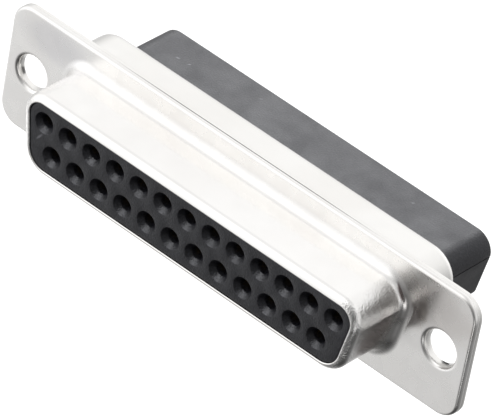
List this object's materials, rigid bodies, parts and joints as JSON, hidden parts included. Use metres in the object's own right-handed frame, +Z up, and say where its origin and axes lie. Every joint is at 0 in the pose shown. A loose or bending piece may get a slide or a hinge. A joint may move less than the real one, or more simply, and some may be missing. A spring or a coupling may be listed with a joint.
{
  "type": "d-sub connector",
  "caption": "D-sub socket connector for panel mounting: two drawn steel shells with mounting ears round a black moulded insulator holding crimp socket contacts in two rows.",
  "frame": {"origin": "on the flange's front plane, halfway between the two mounting holes, at the centre of the D", "axes": "+X along the connector, +Z up towards the wide side of the D, -Y out of the mating face"},
  "size_m": [0.053, 0.0177, 0.0126],
  "materials": {
    "front_shell": "bright tin plate, smooth",
    "rear_shell": "bright tin plate, smooth",
    "insulator": "fine-grained black moulding",
    "contact": "gold flash over brass, turned"
  },
  "bodies": {
    "root": {"front_shell": "front_shell", "rear_shell": "rear_shell", "front_insulator": "insulator", "rear_insulator": "insulator", "contact_01": "contact", "contact_02": "contact", "contact_03": "contact", "contact_04": "contact", "contact_05": "contact", "contact_06": "contact", "contact_07": "contact", "contact_08": "contact", "contact_09": "contact", "contact_10": "contact", "contact_11": "contact", "contact_12": "contact", "contact_13": "contact", "contact_14": "contact", "contact_15": "contact", "contact_16": "contact", "contact_17": "contact", "contact_18": "contact", "contact_19": "contact", "contact_20": "contact", "contact_21": "contact", "contact_22": "contact", "contact_23": "contact", "contact_24": "contact", "contact_25": "contact"}
  },
  "joints": []
}
